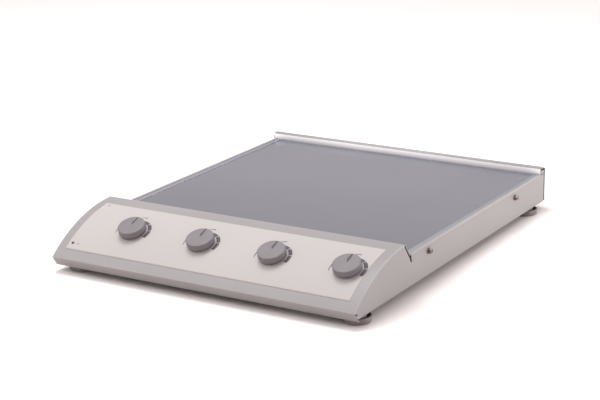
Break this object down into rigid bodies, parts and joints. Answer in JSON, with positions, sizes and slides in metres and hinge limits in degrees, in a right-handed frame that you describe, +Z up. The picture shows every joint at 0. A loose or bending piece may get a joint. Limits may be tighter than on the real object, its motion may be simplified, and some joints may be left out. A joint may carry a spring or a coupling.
{
  "type": "magnetic stirrer",
  "caption": "Flat multi-position magnetic stirrer: sheet metal case, flush grey work plate, curved front console with round speed knobs, rubber feet, belt-driven magnet rotors inside.",
  "frame": {"origin": "centre of the bounding box at the bottom faces of the feet", "axes": "+X to the right seen from the console, +Y to the rear, +Z up; the console faces -Y"},
  "size_m": [0.5106, 0.6352, 0.0783],
  "materials": {
    "case_paint": "satin powder coat",
    "rear_paint": "satin dark coat",
    "label": "smooth film",
    "frame": "satin",
    "plate": "smooth grey coat",
    "knob": "fine matt",
    "pot": "plain",
    "steel": "plated",
    "lens": "clear",
    "foot_rubber": "matt",
    "zinc": "zinc plated",
    "belt": "matt",
    "magnet": "plain",
    "board": "solder mask",
    "black_plastic": "fine matt"
  },
  "bodies": {
    "case": {"console_cover": "case_paint", "side_panel_left": "case_paint", "side_panel_right": "case_paint", "rear_rim": "case_paint", "base_pan": "case_paint", "rear_panel": "rear_paint", "control_label": "label", "deck_frame": "frame", "work_plate": "plate", "potentiometer_1": "pot", "potentiometer_2": "pot", "potentiometer_3": "pot", "potentiometer_4": "pot", "side_screw_1": "steel", "side_screw_2": "steel", "side_screw_3": "steel", "side_screw_4": "steel", "power_led": "lens", "foot_1": "foot_rubber", "foot_2": "foot_rubber", "foot_3": "foot_rubber", "foot_4": "foot_rubber", "drive_tray": "zinc", "power_supply": "zinc", "drive_motor_1": "zinc", "drive_motor_2": "zinc", "drive_motor_3": "zinc", "drive_motor_4": "zinc", "drive_belt_1": "belt", "drive_belt_2": "belt", "drive_belt_3": "belt", "drive_belt_4": "belt", "control_board": "board", "power_inlet": "black_plastic", "switch_housing": "black_plastic"},
    "knob_body_1": {"knob_1": "knob", "pot_shaft_1": "steel"},
    "knob_body_2": {"knob_2": "knob", "pot_shaft_2": "steel"},
    "knob_body_3": {"knob_3": "knob", "pot_shaft_3": "steel"},
    "knob_body_4": {"knob_4": "knob", "pot_shaft_4": "steel"},
    "rotor_body_1_1": {"rotor_1_1": "magnet"},
    "rotor_body_1_2": {"rotor_1_2": "magnet"},
    "rotor_body_1_3": {"rotor_1_3": "magnet"},
    "rotor_body_1_4": {"rotor_1_4": "magnet"},
    "rotor_body_2_1": {"rotor_2_1": "magnet"},
    "rotor_body_2_2": {"rotor_2_2": "magnet"},
    "rotor_body_2_3": {"rotor_2_3": "magnet"},
    "rotor_body_2_4": {"rotor_2_4": "magnet"},
    "rotor_body_3_1": {"rotor_3_1": "magnet"},
    "rotor_body_3_2": {"rotor_3_2": "magnet"},
    "rotor_body_3_3": {"rotor_3_3": "magnet"},
    "rotor_body_3_4": {"rotor_3_4": "magnet"},
    "rotor_body_4_1": {"rotor_4_1": "magnet"},
    "rotor_body_4_2": {"rotor_4_2": "magnet"},
    "rotor_body_4_3": {"rotor_4_3": "magnet"},
    "rotor_body_4_4": {"rotor_4_4": "magnet"},
    "rocker_body": {"switch_rocker": "black_plastic"}
  },
  "joints": [
    {"name": "knob_1_turn", "type": "hinge", "parent": "case", "child": "knob_body_1", "pos_m": [-0.147, -0.257, 0.06], "axis": [0, -0.3798, 0.9251], "range_deg": [-150, 150]},
    {"name": "knob_2_turn", "type": "hinge", "parent": "case", "child": "knob_body_2", "pos_m": [-0.029, -0.257, 0.06], "axis": [0, -0.3798, 0.9251], "range_deg": [-150, 150]},
    {"name": "knob_3_turn", "type": "hinge", "parent": "case", "child": "knob_body_3", "pos_m": [0.089, -0.257, 0.06], "axis": [0, -0.3798, 0.9251], "range_deg": [-150, 150]},
    {"name": "knob_4_turn", "type": "hinge", "parent": "case", "child": "knob_body_4", "pos_m": [0.207, -0.257, 0.06], "axis": [0, -0.3798, 0.9251], "range_deg": [-150, 150]},
    {"name": "rotor_1_1_spin", "type": "hinge", "parent": "case", "child": "rotor_body_1_1", "pos_m": [-0.18, -0.101, 0.03], "axis": [0, 0, 1], "continuous": true},
    {"name": "rotor_1_2_spin", "type": "hinge", "parent": "case", "child": "rotor_body_1_2", "pos_m": [-0.18, 0.019, 0.03], "axis": [0, 0, 1], "continuous": true},
    {"name": "rotor_1_3_spin", "type": "hinge", "parent": "case", "child": "rotor_body_1_3", "pos_m": [-0.18, 0.139, 0.03], "axis": [0, 0, 1], "continuous": true},
    {"name": "rotor_1_4_spin", "type": "hinge", "parent": "case", "child": "rotor_body_1_4", "pos_m": [-0.18, 0.259, 0.03], "axis": [0, 0, 1], "continuous": true},
    {"name": "rotor_2_1_spin", "type": "hinge", "parent": "case", "child": "rotor_body_2_1", "pos_m": [-0.06, -0.101, 0.03], "axis": [0, 0, 1], "continuous": true},
    {"name": "rotor_2_2_spin", "type": "hinge", "parent": "case", "child": "rotor_body_2_2", "pos_m": [-0.06, 0.019, 0.03], "axis": [0, 0, 1], "continuous": true},
    {"name": "rotor_2_3_spin", "type": "hinge", "parent": "case", "child": "rotor_body_2_3", "pos_m": [-0.06, 0.139, 0.03], "axis": [0, 0, 1], "continuous": true},
    {"name": "rotor_2_4_spin", "type": "hinge", "parent": "case", "child": "rotor_body_2_4", "pos_m": [-0.06, 0.259, 0.03], "axis": [0, 0, 1], "continuous": true},
    {"name": "rotor_3_1_spin", "type": "hinge", "parent": "case", "child": "rotor_body_3_1", "pos_m": [0.06, -0.101, 0.03], "axis": [0, 0, 1], "continuous": true},
    {"name": "rotor_3_2_spin", "type": "hinge", "parent": "case", "child": "rotor_body_3_2", "pos_m": [0.06, 0.019, 0.03], "axis": [0, 0, 1], "continuous": true},
    {"name": "rotor_3_3_spin", "type": "hinge", "parent": "case", "child": "rotor_body_3_3", "pos_m": [0.06, 0.139, 0.03], "axis": [0, 0, 1], "continuous": true},
    {"name": "rotor_3_4_spin", "type": "hinge", "parent": "case", "child": "rotor_body_3_4", "pos_m": [0.06, 0.259, 0.03], "axis": [0, 0, 1], "continuous": true},
    {"name": "rotor_4_1_spin", "type": "hinge", "parent": "case", "child": "rotor_body_4_1", "pos_m": [0.18, -0.101, 0.03], "axis": [0, 0, 1], "continuous": true},
    {"name": "rotor_4_2_spin", "type": "hinge", "parent": "case", "child": "rotor_body_4_2", "pos_m": [0.18, 0.019, 0.03], "axis": [0, 0, 1], "continuous": true},
    {"name": "rotor_4_3_spin", "type": "hinge", "parent": "case", "child": "rotor_body_4_3", "pos_m": [0.18, 0.139, 0.03], "axis": [0, 0, 1], "continuous": true},
    {"name": "rotor_4_4_spin", "type": "hinge", "parent": "case", "child": "rotor_body_4_4", "pos_m": [0.18, 0.259, 0.03], "axis": [0, 0, 1], "continuous": true},
    {"name": "switch_rock", "type": "hinge", "parent": "case", "child": "rocker_body", "pos_m": [-0.138, 0.313, 0.036], "axis": [-1, 0, 0], "range_deg": [0, 16]}
  ],
  "couplings": [
    {"joint": "rotor_1_2_spin", "follows": "rotor_1_1_spin", "ratio": 1},
    {"joint": "rotor_1_3_spin", "follows": "rotor_1_1_spin", "ratio": 1},
    {"joint": "rotor_1_4_spin", "follows": "rotor_1_1_spin", "ratio": 1},
    {"joint": "rotor_2_2_spin", "follows": "rotor_2_1_spin", "ratio": 1},
    {"joint": "rotor_2_3_spin", "follows": "rotor_2_1_spin", "ratio": 1},
    {"joint": "rotor_2_4_spin", "follows": "rotor_2_1_spin", "ratio": 1},
    {"joint": "rotor_3_2_spin", "follows": "rotor_3_1_spin", "ratio": 1},
    {"joint": "rotor_3_3_spin", "follows": "rotor_3_1_spin", "ratio": 1},
    {"joint": "rotor_3_4_spin", "follows": "rotor_3_1_spin", "ratio": 1},
    {"joint": "rotor_4_2_spin", "follows": "rotor_4_1_spin", "ratio": 1},
    {"joint": "rotor_4_3_spin", "follows": "rotor_4_1_spin", "ratio": 1},
    {"joint": "rotor_4_4_spin", "follows": "rotor_4_1_spin", "ratio": 1}
  ]
}
